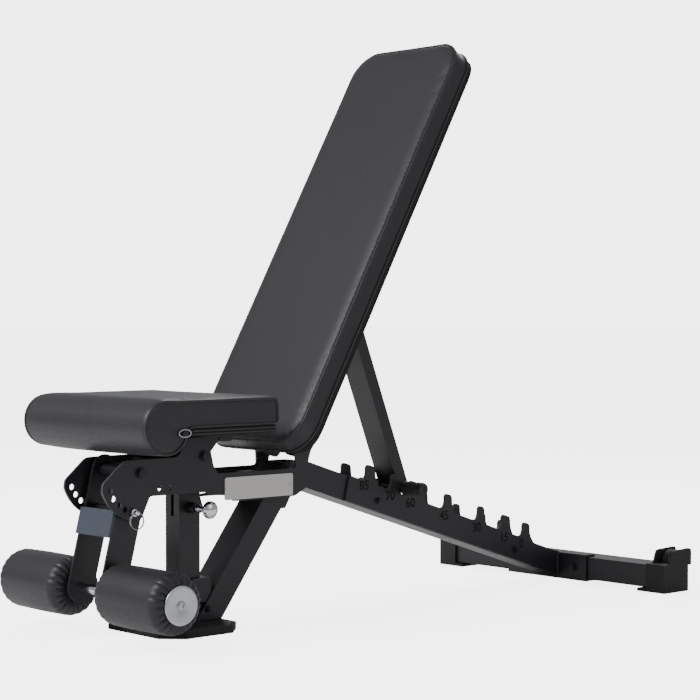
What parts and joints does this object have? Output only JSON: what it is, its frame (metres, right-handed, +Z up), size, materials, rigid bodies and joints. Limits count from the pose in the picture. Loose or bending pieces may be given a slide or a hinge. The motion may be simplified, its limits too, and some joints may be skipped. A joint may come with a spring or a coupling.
{
  "type": "adjustable weight bench",
  "caption": "Weight bench with a tilting seat, a backrest propped by a strut on a toothed ladder, and a swinging leg holder with foam rollers.",
  "frame": {"origin": "bottom centre of the bounding box, on the floor", "axes": "+X to the bench's right-hand side, +Y from the seat towards the rear bar, +Z up"},
  "size_m": [0.6932, 1.4033, 1.1816],
  "materials": {
    "black_paint": "black powder coat",
    "grey_paint": "slate grey speckled paint",
    "chrome": "bright chrome",
    "zinc": "zinc plated",
    "brushed_steel": "brushed",
    "dark_bolt": "black oxide",
    "rubber": "matte black",
    "vinyl": "charcoal vinyl",
    "board": "black covered board"
  },
  "bodies": {
    "frame": {"foot_sole": "rubber", "foot_plate": "black_paint", "front_post": "black_paint", "post_spacer_right": "black_paint", "post_spacer_left": "black_paint", "rear_brace": "black_paint", "brace_foot_bolt": "dark_bolt", "foot_bracket": "black_paint", "side_plate_right": "black_paint", "side_plate_left": "black_paint", "nameplate": "brushed_steel", "spine_tube": "black_paint", "brace_gusset": "black_paint", "ladder_plate_right": "black_paint", "ladder_plate_left": "black_paint", "ladder_bolt_front": "dark_bolt", "ladder_bolt_rear": "dark_bolt", "rear_saddle": "black_paint", "saddle_bolt_right": "dark_bolt", "saddle_bolt_left": "dark_bolt", "rear_tube": "black_paint", "end_cap_right": "rubber", "wheel_axle_right": "zinc", "end_cap_left": "rubber", "wheel_axle_left": "zinc", "leg_pivot_bolt": "dark_bolt", "seat_pivot_bolt": "dark_bolt", "back_pivot_bolt": "dark_bolt", "pull_pin_boss": "black_paint"},
    "seat": {"seat_bracket": "black_paint", "seat_board": "board", "seat_cushion": "vinyl", "seat_eyelet_right": "chrome", "seat_eyelet_left": "chrome"},
    "backrest": {"back_bracket": "black_paint", "back_rail_right": "black_paint", "back_rail_left": "black_paint", "strut_clevis": "black_paint", "back_board": "board", "back_cushion": "vinyl", "strut_bolt": "dark_bolt"},
    "strut": {"strut": "black_paint", "strut_grip_right": "rubber", "strut_grip_left": "rubber"},
    "leg_holder": {"leg_arm_right": "black_paint", "leg_arm_left": "black_paint", "leg_cross_plate": "grey_paint", "leg_pivot_tube": "black_paint", "pin_guide": "black_paint", "roller_axle": "chrome", "roller_disc_right": "zinc", "roller_disc_left": "zinc"},
    "roller_right_body": {"roller_right": "vinyl"},
    "roller_left_body": {"roller_left": "vinyl"},
    "wheel_right_body": {"wheel_right": "rubber"},
    "wheel_left_body": {"wheel_left": "rubber"},
    "pull_pin_body": {"pull_pin": "chrome"},
    "ring_pin_body": {"ring_pin": "chrome", "pin_ring": "zinc"}
  },
  "joints": [
    {"name": "backrest_raise", "type": "hinge", "parent": "frame", "child": "backrest", "pos_m": [0, -0.18015, 0.347], "axis": [1, 0, 0], "range_deg": [0, 25]},
    {"name": "strut_swing", "type": "hinge", "parent": "backrest", "child": "strut", "pos_m": [0, -0.0262, 0.61607], "axis": [1, 0, 0], "range_deg": [-10.5, 0]},
    {"name": "seat_tilt", "type": "hinge", "parent": "frame", "child": "seat", "pos_m": [0, -0.43215, 0.337], "axis": [1, 0, 0], "range_deg": [-20, 0]},
    {"name": "pull_pin_pull", "type": "slide", "parent": "frame", "child": "pull_pin_body", "axis": [1, 0, 0], "range_m": [0, 0.012], "stiffness_N_per_m": 400},
    {"name": "leg_holder_swing", "type": "hinge", "parent": "frame", "child": "leg_holder", "pos_m": [0, -0.58215, 0.313], "axis": [1, 0, 0], "range_deg": [-52, 0]},
    {"name": "roller_right_spin", "type": "hinge", "parent": "leg_holder", "child": "roller_right_body", "pos_m": [0.161, -0.63875, 0.09162], "axis": [1, 0, 0], "continuous": true},
    {"name": "roller_left_spin", "type": "hinge", "parent": "leg_holder", "child": "roller_left_body", "pos_m": [-0.161, -0.63875, 0.09162], "axis": [1, 0, 0], "continuous": true},
    {"name": "ring_pin_pull", "type": "slide", "parent": "frame", "child": "ring_pin_body", "axis": [1, 0, 0], "range_m": [0, 0.15]},
    {"name": "wheel_right_spin", "type": "hinge", "parent": "frame", "child": "wheel_right_body", "pos_m": [0.3225, 0.67785, 0.06], "axis": [1, 0, 0], "continuous": true},
    {"name": "wheel_left_spin", "type": "hinge", "parent": "frame", "child": "wheel_left_body", "pos_m": [-0.3225, 0.67785, 0.06], "axis": [1, 0, 0], "continuous": true}
  ],
  "couplings": [
    {"joint": "strut_swing", "follows": "backrest_raise", "ratio": -0.4}
  ]
}
